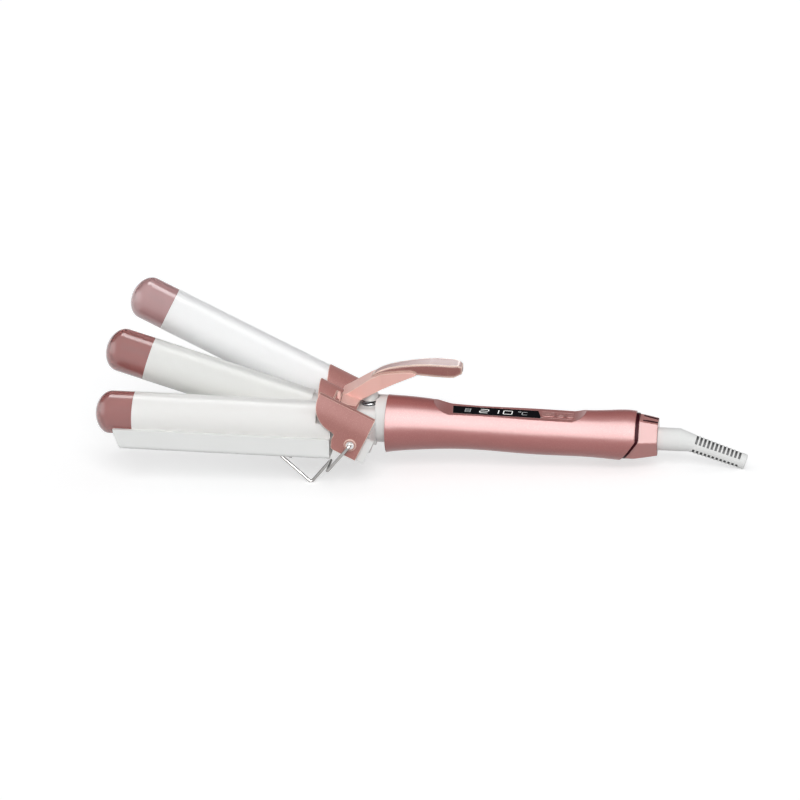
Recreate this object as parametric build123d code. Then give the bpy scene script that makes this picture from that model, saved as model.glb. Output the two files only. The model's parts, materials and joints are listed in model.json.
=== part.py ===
from build123d import *
import os
from math import asin, atan2, cos, degrees, radians, sin, sqrt, tan

# Triple-barrel hair waver with a thumb clamp, a wire stand and a swivel cord sleeve.
# Millimetres. Everything is modelled with the hinge axis along Y through the origin,
# the tips towards -X and the handle towards +X, and is set down on its stand at the end.

# Barrels
barrel_radius = 14.0
barrel_wall = 1.2
lane_pitch = 30.5            # spacing of the three barrel axes across the jaw
tip_seam = 140.0             # hinge to the front edge of a barrel, where its cap begins
near_cap_length = 25.0       # from that edge to the end of the cap, along each barrel
centre_cap_length = 28.2
far_cap_length = 26.0
near_reach = tip_seam + near_cap_length
centre_reach = tip_seam + centre_cap_length
far_reach = tip_seam + far_cap_length
tip_dome = 10.5              # rounded part of a tip
ellipse_handle = 0.5523      # handle of the curve that makes a quarter of an ellipse
tip_cavity = 9.4             # radius of the hollow inside a tip
tip_crown = 3.0              # thickness at the very end of a tip
near_tip_drop = 10.8         # the near tip is flattened this far below its axis
near_tip_corner = 7.0
spigot_length = 8.0
heater_half_width = 5.0
heater_half_height = 1.6
spider_thickness = 1.2
plug_length = 12.0           # of the heat-proof plug inside the rear end of a barrel
near_axis_height = 7.6       # barrel axis above the hinge, square to the barrel
centre_axis_height = -5.3
far_axis_height = -2.4
near_root = 13.0             # hinge to the rear end of each barrel
centre_root = 33.0

# Jaw angles as the waver stands open
clamp_open = 25.3
centre_open = 16.2
clamp_over = 5.0             # the clamp can be pulled open this much further

# Fits
body_gap = 0.3               # between pieces that move past each other
pin_clearance = 0.05         # radial, on the hinge pin
seat_clearance = 0.1         # radial, between pieces of one body
shaft_clearance = 0.08       # radial, on the cord swivel
button_clearance = 0.15

# Saddle over the barrel roots, and its lever
saddle_front = 31.6
saddle_rear = 9.0            # rear end of the lobes, ahead of the hinge
lobe_radius = 14.5
lobe_wall = 1.9
lobe_height = -2.0           # axis of the middle lobe
lobe_rake = 25.0             # the front of a lobe leans forward at the top
middle_crest = 34.0          # hinge to the foremost point of each lobe
far_crest = 32.0
far_plug_radius = lobe_radius - lobe_wall
cheek_wall = 2.6
cheek_gap = 0.6              # between the near barrel and the cheek that wraps it
cheek_top = 19.7
cheek_bottom = 8.0
cheek_rear = 7.2
cheek_corner = 17.5
rib_front = 21.5
rib_rear = 18.0
rib_bottom = 12.9
rib_height = 3.6
near_clear = rib_front + 1.0     # the near barrel is notched for the rib as far as this
deck_rear = 5.5              # thin deck behind the rib
deck_thickness = 1.8
ear_radius = 5.5
liner_wall = 2.7
liner_rear = 12.6
liner_front = 8.5
liner_drop = 8.5
boss_radius = 3.7
boss_height = 0.8
cheek_face = lane_pitch + barrel_radius + cheek_gap    # middle of the jaw to the inside of a cheek
lever_rake = 25.3            # the pad lies this much steeper than the barrels
arm_root_half_width = 11.6   # the arm narrows from the saddle to the pad
arm_middle_half_width = 9.8
arm_end_half_width = 7.0
pad_half_width = 7.2
pad_tip_half_width = 4.3

# Hinge
pin_radius = 2.5
pin_reach = cheek_face + cheek_wall + boss_height      # half of the pin's length
pin_eye_depth = 4.0          # blind hole in each end, for the stand
hub_radius = 6.5
hub_width = 11.0
hub_slot_gap = 0.6
arm_neck_radius = 12.3       # round neck of the centre arm, inside the middle lobe
arm_neck_end = 18.0
barrel_hinge_radius = 8.0
far_hinge_radius = 6.4
yoke_reach = cheek_face - liner_wall - 1.4     # half width of the fixed hinge
washer_radius = 5.0
washer_thickness = 1.0

# Guard under the near barrel
guard_wall = 1.1
guard_gap = 0.4
guard_top = 1.6
guard_bottom = 11.5
guard_start = tip_seam + 12.0    # the guard reaches under the cap
guard_end = 13.4
guard_corner = 3.0
guard_slant = 5.0
guard_rib = 2.0
guard_lip = 1.3

# Neck and handle
handle_axis = -1.7           # height of the handle's own axis
handle_start = 17.9
handle_wall = 2.4
collar_radius = 15.2
collar_rise = 3.2            # the neck sits this much above the handle axis
neck_start = 11.0
spigot_radius = 13.8
spigot_end = 34.0
wire_channel = 4.0           # radius of the passage for the heater leads
panel_start = 58.0
window_start = panel_start + 2.3
window_end = window_start + 53.2
panel_end = window_end + 22.5
panel_height = 11.7          # flat top above the handle axis at its front
panel_fall = 1.0
panel_slope = degrees(atan2(panel_fall, panel_end - panel_start))
window_half_width = 6.7
window_thickness = 1.6
window_slant = 3.2
board_start = panel_start - 8.0
board_end = panel_end + 12.0
board_half_width = 11.3
board_thickness = 1.6
board_height = 2.6           # top of the circuit board above the handle axis
module_margin = 3.6          # the display module is shorter than its window at each end
module_half_width = 5.0
switch_size = 5.0
switch_height = 2.6
button_travel = 0.8
button_proud = 0.35
button_gap = button_travel + 0.15    # under the button at rest
button_places = (("power_button", window_end + 7.1, 4.0, 2.9), ("plus_button", window_end + 14.9, 2.6, 2.9),
                 ("minus_button", window_end + 21.1, 2.6, 2.9))
seam_top = 176.6
seam_knee = 175.2
seam_bottom = 165.2
seam_width = 2.0
cap_end = seam_top + 14.0
cap_spigot_length = 12.0
cap_radius = 14.9
cap_spigot_radius = cap_radius - handle_wall - 0.25
cap_corner = 1.6
cap_flat_start = 14.6        # apothem of the six-sided end cap at its front
cap_flat_middle = 11.9
cap_flat_end = 10.7
cap_wall = 3.2

# Swivel sleeve for the cord
swivel_axis = -2.9
sleeve_radius = 7.3
sleeve_straight = cap_end + 15.9     # hinge to the bend of the sleeve
sleeve_neck_radius = 5.9
sleeve_end_radius = 4.9
sleeve_bend = 17.8           # degrees down from the handle
sleeve_tail = 42.0
sleeve_bend_radius = 30.0
sleeve_tip_round = 1.4
cord_bore = 3.3
flange_radius = 8.7
flange_thickness = 3.0
core_radius = 4.9
core_length = 13.0
core_inset = 0.6             # the core stops this far inside the end of the tail
ring_radius = 5.4
ring_width = 2.0
slot_count = 12
slot_pitch = 2.62
slot_width = 1.5
slot_start = 8.0             # bend to the first slot, along the tail
spine_half = 1.9
liner_radius = 4.2

# Stand
wire_radius = 1.0
leg_length = 43.6
leg_angle = 51.1             # below the jaw
leg_offset = pin_reach + 1.7     # from the middle of the jaw to the outer legs
foot_offset = 27.5           # from the middle of the jaw to the two feet
step_at = 22.9               # where each leg steps inwards
foot_angle = 40.9
wire_bend = 2.4
foot_bend = 1.7
bump_width = 9.0
bar_gap = 1.1                # from the cross bar up to the closed centre barrel
eye_clearance = 0.05

# Spring
spring_x = 6.2
spring_radius = 4.1
spring_wire = 0.6
spring_base = 8.4
spring_height = 5.6
spring_turns = 3
cup_radius = spring_radius + spring_wire + 0.4
cup_start = spring_base + spring_height + 0.1

# Outlines of the lever, drawn level with its thumb pad, and sections of the handle
arm_outline = ((-11.5, 15.2), (-11.5, 18.1), (-4.5, 22.6), (2.0, 27.0), (7.5, 30.6), (13.6, 33.2),
               (24.8, 34.8), (33.0, 35.7), (36.0, 35.0), (36.6, 33.9), (35.1, 33.0), (24.9, 28.4),
               (13.7, 22.8), (6.8, 19.0), (0.0, 15.2))
pad_underside = ((7.5, 30.6), (13.6, 33.2), (24.8, 34.8), (33.0, 35.7), (36.0, 35.0), (36.6, 33.9),
                 (60.6, 33.5), (65.4, 35.4), (65.4, 39.6), (63.0, 41.2))
pad_crown = ((63.0, 41.2), (46.6, 41.6), (24.7, 38.7), (12.5, 34.6), (7.5, 30.6))
handle_stations = ((handle_start, 18.5, 0.0), (33.0, 17.2, 0.9), (48.7, 15.9, 1.0), (68.0, 14.6, 0.6),
                   (95.0, 14.8, 0.2), (125.0, 15.1, 0.0), (156.0, 15.35, 0.0), (180.0, 14.9, 0.0))


def lane(index):
    return index * lane_pitch


def cylinder_x(radius, start, end, y=0.0, z=0.0):
    return Pos((start + end) / 2, y, z) * Rot(0, 90, 0) * Cylinder(radius, end - start)


def cylinder_y(radius, start, end, x=0.0, z=0.0):
    return Pos(x, (start + end) / 2, z) * Rot(90, 0, 0) * Cylinder(radius, end - start)


def cylinder_z(radius, start, end, x=0.0, y=0.0):
    return Pos(x, y, (start + end) / 2) * Cylinder(radius, end - start)


def across(x, z):
    """Drawing plane square to the handle, with its x along Y and its y up."""
    return Plane(origin=(x, 0, z), x_dir=(0, 1, 0), z_dir=(1, 0, 0))


def block(x_low, x_high, y_low, y_high, z_low, z_high):
    middle = Pos((x_low + x_high) / 2, (y_low + y_high) / 2, (z_low + z_high) / 2)
    return middle * Box(x_high - x_low, y_high - y_low, z_high - z_low)


def side_plate(outline, y_low, y_high):
    """A plate whose outline is drawn in the XZ plane."""
    face = make_face(Plane.XZ * outline)
    return Pos(0, y_high, 0) * extrude(face, amount=y_high - y_low, dir=(0, -1, 0))


def opened(shape):
    """Clamp pieces are drawn closed, parallel to the jaw, and swung open."""
    return Rot(0, clamp_open, 0) * shape


def centre_opened(shape):
    return Rot(0, centre_open, 0) * shape


# Barrels, tips and heaters

def barrel_tube(index, height, root):
    outer = cylinder_x(barrel_radius, -tip_seam, -root, lane(index), height)
    return outer - cylinder_x(barrel_radius - barrel_wall, -tip_seam - 1, 0, lane(index), height)


def dome_curve(shoulder, depth, radius):
    """Quarter of an ellipse, from its widest ring to the point on the axis."""
    end = shoulder - depth
    return Bezier((shoulder, radius), (shoulder - ellipse_handle * depth, radius),
                  (end, ellipse_handle * radius), (end, 0))


def tip_cap(index, height, reach):
    """Hollow cap with a spigot that seats inside the front of its barrel."""
    seam = -tip_seam
    mouth = seam + spigot_length
    shoulder = tip_dome - reach
    spigot = barrel_radius - barrel_wall - seat_clearance
    crown = tip_crown - reach
    rim = Polyline((shoulder, barrel_radius), (seam, barrel_radius), (seam, spigot), (mouth, spigot),
                   (mouth, tip_cavity), (shoulder, tip_cavity))
    hollow = dome_curve(shoulder, shoulder - crown, tip_cavity)
    end = Line((crown, 0), (-reach, 0))
    dome = dome_curve(shoulder, tip_dome, barrel_radius)
    profile = make_face(Plane.XZ * (rim + hollow + end + dome))
    return Pos(0, lane(index), height) * revolve(profile, Axis.X)


def heater_core(index, height, root):
    """A flat heater held on the barrel's axis by round spiders."""
    front = spigot_length + 4 - tip_seam
    rear = -root - plug_length - 4
    spider = barrel_radius - barrel_wall - seat_clearance
    core = block(front, rear, lane(index) - heater_half_width, lane(index) + heater_half_width,
                 height - heater_half_height, height + heater_half_height)
    for start in (front, (front + rear - spider_thickness) / 2, rear - spider_thickness):
        core += cylinder_x(spider, start, start + spider_thickness, lane(index), height)
    return core


def near_tip():
    """The near tip has a flatter belly, where the guard runs under it."""
    low = near_axis_height - near_tip_drop
    trim = block(-near_reach - 0.5, 0, lane(-1) - 20, lane(-1) + 20, low, 40)
    nose = trim.edges().filter_by(Axis.Y).group_by(Axis.Z)[0].sort_by(Axis.X)[0]
    keep = fillet(nose, near_tip_corner) + block(-tip_seam, 0, lane(-1) - 20, lane(-1) + 20, -20, 40)
    return tip_cap(-1, near_axis_height, near_reach) & keep


def near_barrel():
    notch = block(-near_clear, 0, lane(-1.5), lane(-0.5), rib_bottom - 1.0, 40)
    return barrel_tube(-1, near_axis_height, near_root) - notch


# Fixed jaw

def jaw_yoke():
    root_plug = barrel_radius - barrel_wall - seat_clearance
    near = lane(-1)
    notch_top = rib_bottom - 1.0
    plug = cylinder_x(root_plug, -near_root - plug_length, -near_root, near, near_axis_height)
    plug -= block(-near_clear, 0, near - 20, near + 20, notch_top, 40)
    stub = block(-near_root, 2, -yoke_reach, near + 10.5, -5.0, notch_top)
    hinge = cylinder_y(barrel_hinge_radius, -yoke_reach, 16)
    hinge += cylinder_y(far_hinge_radius, 16, yoke_reach)
    beam = block(0, neck_start + 1, -yoke_reach, 15, -7.0, 5.0)
    crown = block(-1.0, neck_start + 1, -15, 15, -handle_axis - 14.2, 11.0)
    crown = fillet(crown.edges().filter_by(Axis.X), 4.0)
    collar_height = handle_axis + collar_rise
    collar = cylinder_x(collar_radius, neck_start, handle_start, 0, collar_height)
    spigot = cylinder_x(spigot_radius, handle_start, spigot_end, 0, handle_axis)
    yoke = plug + stub + hinge + beam + crown + collar + spigot
    slot = hub_width / 2 + hub_slot_gap
    swing = hub_radius + hub_slot_gap
    yoke -= block(-40, 3, -slot, slot, -20, swing)
    yoke -= cylinder_y(swing, -slot, slot)
    yoke -= cylinder_y(pin_radius, -yoke_reach - 1, yoke_reach + 1)
    yoke -= cylinder_z(cup_radius, spring_base, 30, spring_x)
    over = radians(clamp_over)
    cup_floor = cup_start * cos(over) - (spring_x + cup_radius) * sin(over) - body_gap
    collar_top = collar_height + collar_radius
    cup_swing = (cup_radius + collar_top * sin(over) + body_gap) / cos(over)
    yoke -= cylinder_z(cup_swing, cup_floor, 30, spring_x)
    yoke -= cylinder_x(wire_channel, neck_start - 1, spigot_end + 1, 0, handle_axis)
    return yoke


def heater_leads():
    """The bundle of wires from the board to the barrels, in the neck's channel."""
    return cylinder_x(wire_channel - 0.3, neck_start - 0.9, board_start, 0, handle_axis)


def guard_section(inset, top):
    half = barrel_radius + guard_gap + guard_wall - inset
    low = inset - guard_bottom
    return Plane.YZ * (Pos(lane(-1), (top + low) / 2) * Rectangle(2 * half, top - low))


def heat_guard():
    """An open trough under the near barrel, carried by cradle ribs."""
    length = guard_start - guard_end
    shell = Pos(-guard_start, 0, 0) * extrude(guard_section(0, guard_top), amount=length)
    corners = shell.edges().filter_by(Axis.X).group_by(Axis.Z)[0]
    shell = fillet(corners, guard_corner)
    hollow = extrude(guard_section(guard_wall, guard_top + 1), amount=length + 2)
    hollow = Pos(-guard_start - 1, 0, 0) * hollow
    guard = shell - hollow
    inner = barrel_radius + guard_gap + guard_wall / 2
    guard += block(-guard_start, -guard_end, lane(-1) - inner, lane(-1) + inner,
                   guard_top - guard_lip, guard_top)
    for start in (-guard_start + guard_slant, -guard_start / 2, -guard_end - guard_rib - 3):
        rib = block(start, start + guard_rib, lane(-1) - inner, lane(-1) + inner,
                    guard_wall / 2 - guard_bottom, -1.0)
        guard += rib
    guard -= cylinder_x(barrel_radius + 0.02, -guard_start - 5, 0, lane(-1), near_axis_height)
    nose = Polyline((-guard_start - 1, guard_top + 1), (-guard_start, guard_top + 1),
                    (-guard_start + 0.6, guard_top - 2.5), (-guard_start + guard_slant, -guard_bottom - 1),
                    (-guard_start - 1, -guard_bottom - 1), close=True)
    return guard - side_plate(nose, lane(-2), lane(0))


def hinge_pin():
    pin = cylinder_y(pin_radius, -pin_reach, pin_reach)
    for side in (-1, 1):
        inner = side * (pin_reach - pin_eye_depth)
        outer = side * (pin_reach + 1)
        pin -= cylinder_y(wire_radius + eye_clearance, min(inner, outer), max(inner, outer))
    return pin


def hinge_washers():
    washers = []
    for side in (-1, 1):
        low = side * yoke_reach if side > 0 else -yoke_reach - washer_thickness
        washer = cylinder_y(washer_radius, low, low + washer_thickness)
        washers.append(washer - cylinder_y(pin_radius, low - 1, low + washer_thickness + 1))
    return Compound(washers)


# Centre arm

def centre_arm():
    plug_radius = barrel_radius - barrel_wall - seat_clearance
    hub = cylinder_y(hub_radius, -hub_width / 2, hub_width / 2)
    stem_low = centre_axis_height - 4.7
    stem = block(-centre_root, 0, -5, 5, stem_low, centre_axis_height + 8.0)
    stem -= block(-hub_radius, 0, -6, 6, stem_low - 1, -hub_radius)
    plug = cylinder_x(plug_radius, -centre_root - plug_length, -centre_root, 0, centre_axis_height)
    plug += cylinder_x(arm_neck_radius, -centre_root, -arm_neck_end, 0, centre_axis_height)
    arm = hub + stem + plug
    return arm - cylinder_y(pin_radius + pin_clearance, -20, 20)


# Clamp

def cheek_outline():
    front = -saddle_front
    left = -(saddle_front - cheek_corner)
    low = cheek_top - cheek_corner
    knee = 12.1
    drop = 7.4
    edge = Polyline((left, low), (-knee, low - 0.8), (-knee, -2.8), (-knee + 2.0, -drop),
                    (-knee + 3.8, -cheek_bottom), (cheek_rear, -cheek_bottom),
                    (cheek_rear, cheek_top), (front, cheek_top))
    return edge + CenterArc((left, cheek_top), cheek_corner, 180, 90)


def near_cheek():
    """The near side of the saddle wraps the near barrel when the jaw is closed."""
    inner = barrel_radius + cheek_gap
    outer = inner + cheek_wall
    low = lane(-1) - outer
    wrap = cylinder_x(outer, -saddle_front - 1, cheek_rear + 1, lane(-1), near_axis_height)
    wrap &= side_plate(cheek_outline(), low - 1, lane(-1) - 8.0)
    flat = side_plate(cheek_outline(), low, low + cheek_wall)
    flat &= block(-60, 40, -60, 0, -20, near_axis_height)
    cheek = wrap + flat
    cheek -= cylinder_x(inner, -saddle_front - 2, cheek_rear + 2, lane(-1), near_axis_height)
    under = block(-60, 40, low + cheek_wall, 0, -30, near_axis_height)
    cheek -= under
    boss = cylinder_y(boss_radius, low - boss_height, low + 0.5)
    return cheek + boss


def ahead_of(crest, height):
    """Everything in front of the raked plane that ends a lobe at its crest."""
    top = height + lobe_radius
    drop = 2 * lobe_radius + 5
    low = (-crest + drop * tan(radians(lobe_rake)), top - drop)
    high = (-crest - 5 * tan(radians(lobe_rake)), top + 5)
    outline = Polyline((-80, high[1]), high, low, (-80, low[1]), close=True)
    return side_plate(outline, -60, 60)


def lobe(index, height, rear, crest):
    tube = cylinder_x(lobe_radius, -crest, -rear, lane(index), height)
    tube -= cylinder_x(lobe_radius - lobe_wall, -crest - 1, 0, lane(index), height)
    return tube - ahead_of(crest, height)


def far_barrel():
    """The far barrel ends on the raked front of its lobe."""
    long_tube = barrel_tube(1, far_axis_height, saddle_rear + 4)
    return long_tube & ahead_of(far_crest, far_axis_height) + block(-150, -60, 0, 50, -30, 30)


def saddle_rib(outer):
    """Bar that joins the near cheek to the middle lobe, over the root of the near barrel."""
    top = rib_bottom + rib_height
    shoulder = lane(-0.5) - 2
    section = Polyline((outer, rib_bottom), (shoulder, rib_bottom), (-6, 7.0), (-2, 7.0), (-2, 11.5),
                       (-8, 13.5), (shoulder + 3, top), (outer, top), close=True)
    face = make_face(Plane.YZ * section)
    rib = Pos(-rib_front, 0, 0) * extrude(face, amount=rib_front - rib_rear)
    deck_edge = -arm_root_half_width + 1
    return rib + block(-rib_rear - 1, -deck_rear, outer, deck_edge, rib_bottom, rib_bottom + deck_thickness)


def saddle():
    """Pink cover over the three barrel roots, in one moulding, drawn closed."""
    middle = lobe(0, lobe_height, saddle_rear, middle_crest)
    middle -= block(-60, 0, -20, 20, -40, lobe_height)
    far = lobe(1, far_axis_height, saddle_rear, far_crest)
    wire_way = leg_point(step_at, 0)[2] + wire_radius + 2 * body_gap
    far -= block(-saddle_front + 8, 0, 0, 60, -40, wire_way)
    inner_face = -cheek_face
    rib = saddle_rib(inner_face + 0.2)
    edge = lane(0.5)
    web = block(-saddle_front + 8, -saddle_rear - 1, edge - 2.0, edge + 2.0, -6.0, 6.5)
    ear_in = -inner_face
    ear = cylinder_y(ear_radius, ear_in, ear_in + cheek_wall)
    ear += block(-saddle_rear - 6, 0, ear_in, ear_in + cheek_wall, -ear_radius, 3.5)
    ear += block(-saddle_rear - 6, -saddle_rear - 0.2, ear_in - 1.3, ear_in + 1, -ear_radius, 1.5)
    ear += cylinder_y(boss_radius, ear_in + cheek_wall - 0.5, ear_in + cheek_wall + boss_height)
    cover = near_cheek() + middle + far + rib + web + ear
    cover -= cylinder_x(far_plug_radius, -60, -saddle_rear - 1, lane(1), far_axis_height)
    cover -= cylinder_x(lobe_radius - lobe_wall, -60, -saddle_rear + 1, 0, lobe_height)
    return cover - cylinder_y(pin_radius + pin_clearance, -60, 60)


def far_plug():
    """Heat-proof plug that carries the far barrel inside its lobe."""
    plug = cylinder_x(far_plug_radius - seat_clearance, -saddle_front, -saddle_rear - 0.5,
                      lane(1), far_axis_height)
    front = barrel_radius - barrel_wall - seat_clearance
    return plug + cylinder_x(front, -saddle_front - plug_length, -saddle_front, lane(1), far_axis_height)


def cheek_liners():
    """White bearing plates between the saddle's cheeks and the fixed hinge."""
    face = cheek_face
    near = block(-liner_front, liner_rear, -face, -face + liner_wall, -liner_drop, near_axis_height)
    far = cylinder_y(ear_radius + 0.8, face - liner_wall, face)
    bore = cylinder_y(pin_radius + pin_clearance, -60, 60)
    return Compound([near - bore, far - bore])


def lever_arm():
    """Wedge-shaped arm, broad where it grows out of the saddle."""
    arm = side_plate(Polyline(*arm_outline, close=True), -arm_root_half_width, arm_root_half_width)
    plan = Polyline((-12, -arm_root_half_width), (0, -arm_middle_half_width), (14, -arm_end_half_width),
                    (40, -arm_end_half_width), (40, arm_end_half_width), (14, arm_end_half_width),
                    (0, arm_middle_half_width), (-12, arm_root_half_width), close=True)
    arm &= extrude(make_face(plan), amount=60)
    arm = Rot(0, -lever_rake, 0) * arm
    return arm - saddle() - cylinder_x(lobe_radius - 0.5, -60, 20, 0, lobe_height)


def lever_pad():
    side = Polyline(*pad_underside) + Spline(*pad_crown)
    pad = side_plate(side, -pad_half_width, pad_half_width)
    tip = pad_tip_half_width
    wide = pad_half_width
    plan = Spline((5, -tip), (25, -tip - 0.6), (46, -wide + 0.3), (58, -wide + 0.2), (65.4, -wide + 3.2))
    plan += Line((65.4, -wide + 3.2), (65.4, wide - 3.2))
    plan += Spline((65.4, wide - 3.2), (58, wide - 0.2), (46, wide - 0.3), (25, tip + 0.6), (5, tip))
    plan += Line((5, tip), (5, -tip))
    pad &= extrude(make_face(plan), amount=60)
    return Rot(0, -lever_rake, 0) * pad


def spring_cup():
    """White cup under the arm that holds the top of the spring."""
    cup = cylinder_z(cup_radius, cup_start, cup_start + 12, spring_x)
    return Rot(0, -lever_rake, 0) * cup - lever_arm()


def clamp_spring():
    path = Helix(pitch=spring_height / spring_turns - 0.25, height=spring_height - 2 * spring_wire,
                 radius=spring_radius)
    path = Pos(spring_x, 0, spring_base + spring_wire) * path
    start = Plane(origin=path @ 0, z_dir=path % 0)
    return sweep(start * Circle(spring_wire), path=path, is_frenet=True)


# Handle

def handle_sections(inset):
    """Round sections along the handle: position, radius and rise of the centre."""
    faces = []
    for x, radius, rise in handle_stations:
        faces.append(across(x, handle_axis + rise) * Circle(radius - inset))
    return faces


def panel_cut():
    """Everything above the flat top, with a ramp at each end."""
    front = handle_axis + panel_height
    rear = front - panel_fall
    ramp = Spline((panel_start - 13, handle_axis + 19.5), (panel_start - 6, front + 2.2),
                  (panel_start, front))
    flat = Line((panel_start, front), (panel_end, rear))
    rise = Spline((panel_end, rear), (panel_end + 5, rear + 1.6), (panel_end + 11, rear + 6.5))
    lid = Polyline((panel_end + 11, rear + 6.5), (panel_end + 11, 40), (panel_start - 13, 40),
                   (panel_start - 13, handle_axis + 19.5))
    return side_plate(ramp + flat + rise + lid, -25, 25)


def seam_cutter(offset):
    """Everything behind the stepped seam between handle and end cap."""
    line = Polyline((seam_top + offset, 30), (seam_top + offset, handle_axis + 1.0),
                    (seam_knee + offset, handle_axis - 1.2), (seam_bottom + offset, handle_axis - 17),
                    (seam_bottom + offset, -40), (230, -40), (230, 30), close=True)
    return side_plate(line, -30, 30)


def panel_plane(x):
    """Height of the flat top at a place along the handle."""
    share = (x - panel_start) / (panel_end - panel_start)
    return handle_axis + panel_height - panel_fall * share


def window_plan(x_low, x_high, inset):
    half = window_half_width - inset
    outline = Polyline((x_low + inset, -half), (x_high - inset + window_slant, -half),
                       (x_high - inset, half), (x_low + inset - 1.2, half), close=True)
    return make_face(outline)


def on_panel(sketch, x, low, high):
    """Extrude a sketch drawn about x = 0 square to the flat top at x."""
    solid = Pos(0, 0, low) * extrude(sketch, amount=high - low)
    return Pos(x, 0, panel_plane(x)) * Rot(0, panel_slope, 0) * solid


def display_window():
    sketch = window_plan(0, window_end - window_start, 0)
    return on_panel(sketch, window_start, -window_thickness, 0)


def button_sketch(half_length, half_width, grow):
    return RectangleRounded(2 * (half_length + grow), 2 * (half_width + grow), 1.6 + grow)


def button_depth(x):
    """From the flat top down to the button's foot."""
    switch_top = handle_axis + board_height + switch_height
    return panel_plane(x) - switch_top - button_gap


def handle_sleeve():
    sleeve = loft(handle_sections(0))
    cavity = loft(handle_sections(handle_wall))
    cavity -= block(0, handle_start + 4, -30, 30, -30, 30)
    roof = panel_height - 2.4
    cavity -= block(panel_start - 16, panel_end + 14, -30, 30, handle_axis + roof - panel_fall, 40)
    sleeve -= cavity
    sleeve -= cylinder_x(spigot_radius + seat_clearance, 0, handle_start + 6, 0, handle_axis)
    sleeve -= panel_cut()
    sleeve -= seam_cutter(0)
    sketch = window_plan(0, window_end - window_start, 0)
    sleeve -= on_panel(sketch, window_start, -window_thickness, 4)
    opening = window_plan(0, window_end - window_start, 1.4)
    sleeve -= on_panel(opening, window_start, -8, 0)
    for name, x, half_length, half_width in button_places:
        hole = button_sketch(half_length, half_width, button_clearance)
        sleeve -= on_panel(hole, x, -8, 4)
    return sleeve


def button(x, half_length, half_width):
    depth = button_depth(x)
    cap = on_panel(button_sketch(half_length, half_width, 0), x, -2.6, button_proud)
    stem = on_panel(Circle(1.6), x, -depth, -2.0)
    return cap + stem


def board_top():
    return handle_axis + board_height


def circuit_board():
    top = board_top()
    return block(board_start, board_end, -board_half_width, board_half_width, top - board_thickness, top)


def display_module():
    top = panel_plane(window_end) - window_thickness - 0.35
    module = block(window_start + module_margin, window_end - module_margin,
                   -module_half_width, module_half_width, board_top(), top)
    return fillet(module.edges().filter_by(Axis.Z), 0.8)


def tact_switches():
    switches = []
    for name, x, half_length, half_width in button_places:
        half = switch_size / 2
        low = board_top()
        body = block(x - half, x + half, -half, half, low, low + switch_height - 0.6)
        switches.append(body + cylinder_z(1.5, low, low + switch_height, x))
    return Compound(switches)


def power_parts():
    """Capacitor, fuse and triac on the underside of the board."""
    low = board_top() - board_thickness
    capacitor = cylinder_x(4.2, 78, 94, 0, low - 4.2)
    fuse = cylinder_x(2.6, 100, 118, -4.5, low - 2.6)
    triac = block(103, 113, 2, 8, low - 5.5, low)
    choke = cylinder_z(5.5, low - 6.5, low, 132)
    return Compound([capacitor, fuse, triac, choke])


def seam_ring():
    ring = cylinder_x(cap_radius - seat_clearance, 150, 200, 0, handle_axis)
    ring -= cylinder_x(cap_spigot_radius, 140, 210, 0, handle_axis)
    return (ring & seam_cutter(0)) - seam_cutter(seam_width)


def end_cap():
    """Six-sided cap that narrows to the swivel, with a spigot inside the handle."""
    stations = ((seam_bottom, cap_flat_start), ((seam_top + cap_end) / 2, cap_flat_middle),
                (cap_end, cap_flat_end))
    faces = []
    for x, apothem in stations:
        hexagon = RegularPolygon(radius=apothem, side_count=6, major_radius=False)
        faces.append(across(x, handle_axis) * fillet(hexagon.vertices(), cap_corner))
    cap = loft(faces)
    cap &= cylinder_x(cap_radius, 150, 200, 0, handle_axis)
    cap &= seam_cutter(seam_width)
    spigot = cylinder_x(cap_spigot_radius, seam_bottom - cap_spigot_length, seam_top + 1, 0, handle_axis)
    cap += spigot
    pocket = cap_end - cap_wall
    cap -= cylinder_x(flange_radius + 0.4, 100, pocket, 0, swivel_axis)
    cap -= cylinder_x(sleeve_radius + shaft_clearance, pocket - 1, cap_end + 1, 0, swivel_axis)
    return cap


# Cord swivel

def swivel_flange_rear():
    return cap_end - cap_wall - body_gap


def swivel_retainer():
    """Ring in the end cap that keeps the swivel's flange from pulling out."""
    high = swivel_flange_rear() - flange_thickness - body_gap
    ring = cylinder_x(flange_radius + 0.38, high - 3.0, high, 0, swivel_axis)
    return ring - cylinder_x(ring_radius + 0.5, high - 4.0, high + 1, 0, swivel_axis)


def slip_ring_starts():
    front = swivel_flange_rear() - flange_thickness - core_length
    return front + 1.5, front + 1.5 + ring_width + 1.6


def slip_rings():
    rings = []
    for start in slip_ring_starts():
        ring = cylinder_x(ring_radius, start, start + ring_width, 0, swivel_axis)
        rings.append(ring - cylinder_x(core_radius, start - 1, start + ring_width + 1, 0, swivel_axis))
    return Compound(rings)


def brush_contacts():
    """Sprung copper fingers that press up on the slip rings, seen here as plain blocks."""
    fingers = []
    for start in slip_ring_starts():
        top = swivel_axis - ring_radius - body_gap
        floor = handle_axis - sqrt(cap_spigot_radius ** 2 - 4)
        low = max(floor, swivel_axis - flange_radius - 0.4)
        fingers.append(block(start + 0.3, start + ring_width - 0.3, -1.6, 1.6, low + 0.2, top))
    return Compound(fingers)


def tail_frame():
    """The sleeve's tail starts at the bend and points down by its own angle."""
    return Pos(sleeve_straight, 0, swivel_axis) * Rot(0, sleeve_bend, 0)


def cord_way(radius, front, past):
    """Round passage along the shank, round the bend and out of the tail."""
    angle = radians(sleeve_bend)
    reach = sleeve_tail + past
    corner = (sleeve_straight, 0, swivel_axis)
    end = (sleeve_straight + reach * cos(angle), 0, swivel_axis - reach * sin(angle))
    path = FilletPolyline((front, 0, swivel_axis), corner, end, radius=sleeve_bend_radius)
    return sweep(across(front, swivel_axis) * Circle(radius), path=path)


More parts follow.
